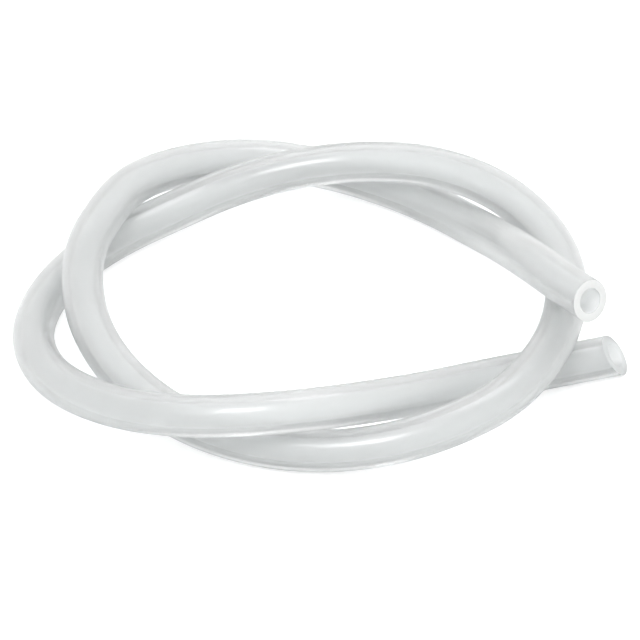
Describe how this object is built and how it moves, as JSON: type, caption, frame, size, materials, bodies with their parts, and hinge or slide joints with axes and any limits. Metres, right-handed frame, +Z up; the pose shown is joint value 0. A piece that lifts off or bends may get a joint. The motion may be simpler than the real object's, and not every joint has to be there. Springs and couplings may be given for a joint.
{
  "type": "silicone tubing coil",
  "caption": "Length of soft translucent silicone tube lying in loose round turns that pass over and under each other, with both ends cut plain and open.",
  "frame": {"origin": "on the surface that the coil lies on, below the middle of its box", "axes": "+Z up, along the axis of the ring; the end that lies on the surface is on the +X side, and the end on top of the turns points to -Y"},
  "size_m": [0.1756, 0.1724, 0.0408],
  "materials": {
    "silicone": "satin"
  },
  "bodies": {
    "root": {"silicone_tube": "silicone"}
  },
  "joints": []
}
